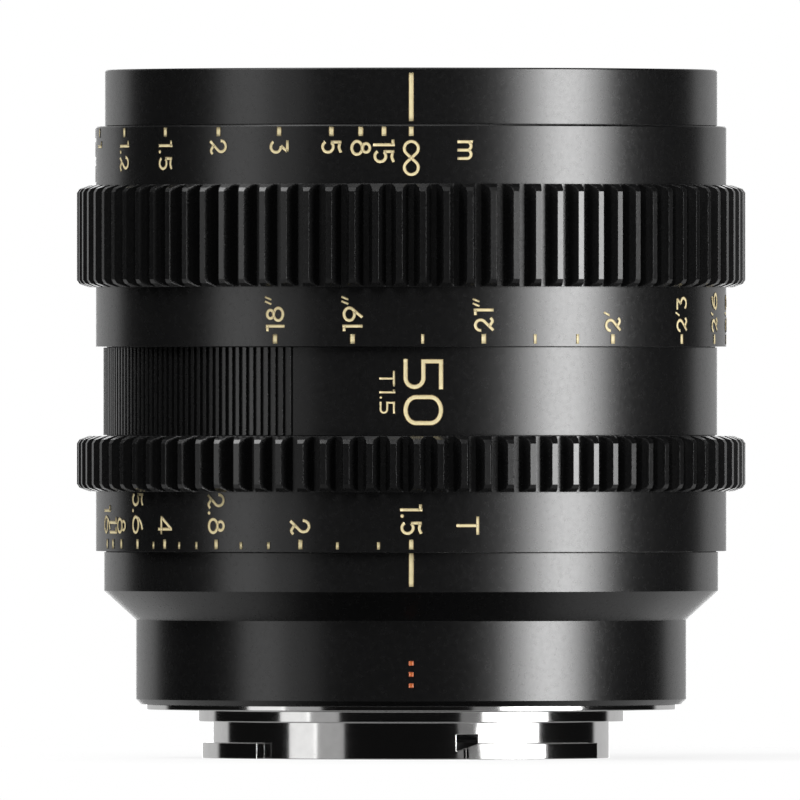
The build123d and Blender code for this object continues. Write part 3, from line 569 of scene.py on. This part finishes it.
def focal_length_mark():
    """The large 50 and the small T1.5 on the barrel between the rings."""
    marks = Engraving(MID_R)
    large_start, large_width = (-8.04 * UNIT, 38.18), 4.4 * UNIT
    small_start, small_width, small_dot = (-31.75 * UNIT, 36.93), 2.1 * UNIT, 2.6 * UNIT
    five = [
        (30.1, 37.6), (2.4, 37.6), (2.4, 20.0), *arc(19.0, 11.2, 8.8, 8.8, 90, -90), (0, 2.4),
    ]
    nought = [
        *arc(50.8, 27.0, 12.9, 10.6, 0, 180), *arc(50.8, 13.0, 12.9, 10.6, 180, 360), (63.7, 27.0),
    ]
    marks.draw([five, nought], [], large_start, UNIT, 1, large_width)
    letter = [[(0, 14.6), (15.8, 14.6)], [(7.9, 0), (7.9, 14.6)]]
    one = [[(21.6, 0), (21.6, 15.9)], [(18.6, 14.6), (21.6, 14.6)]]
    small_five = [
        (42.8, 14.6), (31.9, 14.6), (31.9, 7.95), *arc(38.5, 4.65, 3.3, 3.3, 90, -90), (31.0, 1.35),
    ]
    small = [*letter, *one, small_five]
    marks.draw(small, [(26.7, 1.6)], small_start, UNIT, 1, small_width, small_dot)
    marks.make("focal_length_mark", "fixed_barrel", gold)


def mounting_marks():
    """Three orange squares that line up with the camera's mounting mark."""
    marks = Engraving(NECK_R)
    side = 0.52
    for height in (5.29, 4.09, 2.88):
        marks.stroke([(-side / 2, height), (side / 2, height)], side)
    marks.make("mounting_marks", "fixed_barrel", orange)


def filter_thread_ridges():
    """The thread's ridges on the front ring's bore."""
    crest, root, half_root, half_crest = FILTER_R - 0.40, FILTER_R + 0.02, 0.34, 0.05
    margin = 0.45
    low, high = FRONT_TOP - FILTER_DEPTH + margin, FRONT_TOP - margin
    steps_per_turn, run_out = 96, 12
    steps = round((high - low) / FILTER_PITCH * steps_per_turn)
    vertices, faces = [], []
    for i in range(steps + 1):
        angle = 2 * pi * i / steps_per_turn
        height = low + FILTER_PITCH * i / steps_per_turn
        rise = min(1.0, i / run_out, (steps - i) / run_out)
        inner = root + (crest - root) * rise
        section = ((root, -half_root), (inner, -half_crest), (inner, half_crest), (root, half_root))
        for radius, offset in section:
            vertices.append((
                radius * sin(angle) * MM, -radius * cos(angle) * MM, (height + offset) * MM))
    for i in range(steps):
        for j in range(3):
            here, there = 4 * i + j, 4 * (i + 1) + j
            faces.append((here, here + 1, there + 1, there))
    new_piece("filter_thread_ridges", vertices, faces, [black], "fixed_barrel")


def dust_rings():
    """Thin black rings that close the gaps beside the turning rings and darken them as painted
    shade.
    """
    sides = 180
    # they stand for the overlap at each joint; their black is painted shade in the gap lines
    for name, inner, outer, low, high in (
        ("gap_shade_ring_front", 32.6, 33.12, 63.52, 63.61),
        ("gap_shade_ring_mid_front", 32.6, 33.12, 39.45, 39.54),
        ("gap_shade_ring_mid_rear", 32.3, 33.12, 29.86, 29.95),
        ("gap_shade_ring_rear", 32.3, 33.22, 17.19, 17.30),
    ):
        section = ((inner, low), (outer, low), (outer, high), (inner, high))
        vertices, faces = [], []
        for i in range(sides):
            angle = 2 * pi * i / sides
            for radius, height in section:
                vertices.append((radius * sin(angle) * MM, -radius * cos(angle) * MM, height * MM))
            for j in range(4):
                here, there = 4 * i, 4 * ((i + 1) % sides)
                faces.append((here + j, there + j, there + (j + 1) % 4, here + (j + 1) % 4))
        new_piece(name, vertices, faces, [baffle], "fixed_barrel")


class Studio:
    """Math nodes in the node tree of the world or the floor."""

    def __init__(self, tree):
        self.tree = tree
        self.rays = tree.nodes.new("ShaderNodeLightPath").outputs

    def link(self, value, socket):
        if isinstance(value, float):
            socket.default_value = value
        else:
            self.tree.links.new(value, socket)

    def math(self, operation, *values):
        node = self.tree.nodes.new("ShaderNodeMath")
        node.operation = operation
        for socket, value in zip(node.inputs, values):
            self.link(value, socket)
        return node.outputs[0]

    def seen_straight(self):
        """1 for what the camera sees, also through glass."""
        return self.math("MAXIMUM", self.rays["Is Camera Ray"], self.rays["Is Transmission Ray"])

    def step(self, value, first, last):
        """Goes smoothly from 0 at first to 1 at last."""
        node = self.tree.nodes.new("ShaderNodeMapRange")
        node.interpolation_type = "SMOOTHSTEP"
        node.inputs["From Min"].default_value = first
        node.inputs["From Max"].default_value = last
        self.link(value, node.inputs["Value"])
        return node.outputs["Result"]


def studio_world():
    """White wherever the camera looks. Gloss sees it low behind the lens and, dimmer, below it."""
    world = bpy.data.worlds.new("studio")
    bpy.context.scene.world = world
    world.use_nodes = True
    studio = Studio(world.node_tree)
    split = studio.tree.nodes.new("ShaderNodeSeparateXYZ")
    studio.link(studio.tree.nodes.new("ShaderNodeTexCoord").outputs["Generated"], split.inputs[0])
    back, up = split.outputs["Y"], split.outputs["Z"]
    down = studio.math("MULTIPLY", up, -1.0)
    behind = studio.math("MULTIPLY", studio.step(back, *BACKDROP_FROM), BACKDROP_IN_GLOSS)
    behind = studio.math("MULTIPLY", behind, studio.step(up, *BACKDROP_TOP))
    below = studio.math(
        "SUBTRACT", studio.step(down, *FLOOR_FROM), studio.step(down, *FLOOR_UNTIL))
    below = studio.math("MULTIPLY", below, FLOOR_IN_GLOSS)
    in_gloss = studio.math("MAXIMUM", behind, below)
    in_gloss = studio.math("MULTIPLY", studio.rays["Is Glossy Ray"], in_gloss)
    seen = studio.math("MAXIMUM", studio.seen_straight(), in_gloss)
    background = studio.tree.nodes["Background"]
    background.inputs["Color"].default_value = (1, 1, 1, 1)
    studio.link(studio.math("MAXIMUM", seen, ROOM_LIGHT), background.inputs["Strength"])


def studio_floor():
    """A white floor that keeps the shadow. Gloss looks through it at the world's pale part below."""
    gap, reach, sides = 0.00002, 0.13, 96
    glow, pale, dim = 0.84, 0.12, 0.03
    low = cad_low.z - gap
    angles = [2 * pi * i / sides for i in range(sides)]
    edge = [(reach * cos(angle), reach * sin(angle), low) for angle in angles]
    mesh = bpy.data.meshes.new("floor")
    mesh.from_pydata(edge, [], [tuple(range(sides))])
    floor = bpy.data.objects.new("floor", mesh)
    bpy.context.scene.collection.objects.link(floor)
    material = bpy.data.materials.new("floor")
    material.use_nodes = True
    studio = Studio(material.node_tree)
    shader = studio.tree.nodes["Principled BSDF"]
    shader.inputs["Roughness"].default_value = 0.9
    shader.inputs["Specular IOR Level"].default_value = 0.0
    shader.inputs["Emission Color"].default_value = (1, 1, 1, 1)
    seen = studio.seen_straight()
    studio.link(studio.math("MULTIPLY", seen, glow), shader.inputs["Emission Strength"])
    studio.link(studio.math("MULTIPLY_ADD", seen, pale, dim), shader.inputs["Base Color"])
    mixed = studio.tree.nodes.new("ShaderNodeMixShader")
    studio.link(studio.rays["Is Glossy Ray"], mixed.inputs[0])
    studio.link(shader.outputs[0], mixed.inputs[1])
    studio.link(studio.tree.nodes.new("ShaderNodeBsdfTransparent").outputs[0], mixed.inputs[2])
    studio.link(mixed.outputs[0], studio.tree.nodes["Material Output"].inputs["Surface"])
    mesh.materials.append(material)


def soft_light(name, azimuth, elevation, distance, width, height, radiance):
    """An area light aimed at the lens's middle. Azimuth 0 is the camera's side and 90 is +X."""
    middle = 0.034
    data = bpy.data.lights.new(name, "AREA")
    data.shape = "RECTANGLE"
    data.size, data.size_y = width, height
    data.energy = radiance * pi * width * height
    light = bpy.data.objects.new(name, data)
    bpy.context.scene.collection.objects.link(light)
    a, e = radians(azimuth), radians(elevation)
    light.location = (
        distance * cos(e) * sin(a), -distance * cos(e) * cos(a), middle + distance * sin(e))
    light.rotation_euler = (pi / 2 - e, 0, a)
    light.visible_camera = False


def strip_light(name, azimuth, distance, half_angle, radiance):
    """An upright light that draws one streak down the barrel, half_angle wide to each side."""
    elevation, height = 2, 0.60
    width = 2 * distance * tan(radians(half_angle))
    soft_light(name, azimuth, elevation, distance, width, height, radiance)


def square_light(name, azimuth, elevation, distance, side, radiance):
    soft_light(name, azimuth, elevation, distance, side, side, radiance)


def studio_lights():
    """The key light is three nested strips, so the streak fades to both sides."""
    strip_light("key_light", 59, 1.15, 20, 3.4)
    strip_light("key_middle", 59.5, 1.12, 14.5, 3.0)
    strip_light("key_centre", 59, 1.10, 8.5, 5.6)
    strip_light("key_glow", 33.5, 1.1, 7, 0.22)
    strip_light("left_strip", -65.5, 1.1, 9.5, 1.15)
    strip_light("left_fill", -48.5, 1.1, 9.5, 0.45)
    square_light("paint_light_front", -10, 42, 1.1, 0.6, 4.5)
    square_light("paint_light_left", -72, 42, 1.1, 0.6, 5.5)
    square_light("upper_left_light", -88, 58, 1.1, 0.6, 1.6)
    square_light("top_light", 0, 90, 1.3, 1.0, 0.6)
    square_light("upper_back_light", 180, 55, 1.1, 0.6, 4.0)
    strip_light("back_strip", 180, 1.1, 9, 1.6)


def photo_camera():
    """A very long lens, level with the middle of the object, as in the photo."""
    lens, sensor, photo_width, plane = 1650.0, 36.0, 0.08703, -0.004
    across, height, nearest, farthest = -0.001212, 0.03375, 0.1, 20.0
    data = bpy.data.cameras.new("camera")
    data.lens, data.sensor_width = lens, sensor
    data.clip_start, data.clip_end = nearest, farthest
    camera = bpy.data.objects.new("camera", data)
    camera.location = (across, plane - photo_width / sensor * lens, height)
    camera.rotation_euler = (pi / 2, 0, 0)
    bpy.context.scene.collection.objects.link(camera)
    bpy.context.scene.camera = camera


finish_nodes()
dust_rings()
metre_scale()
feet_scale()
aperture_scale()
index_lines()
focal_length_mark()
mounting_marks()
filter_thread_ridges()
studio_world()
studio_floor()
studio_lights()
photo_camera()
bpy.context.scene.view_settings.view_transform = "Standard"
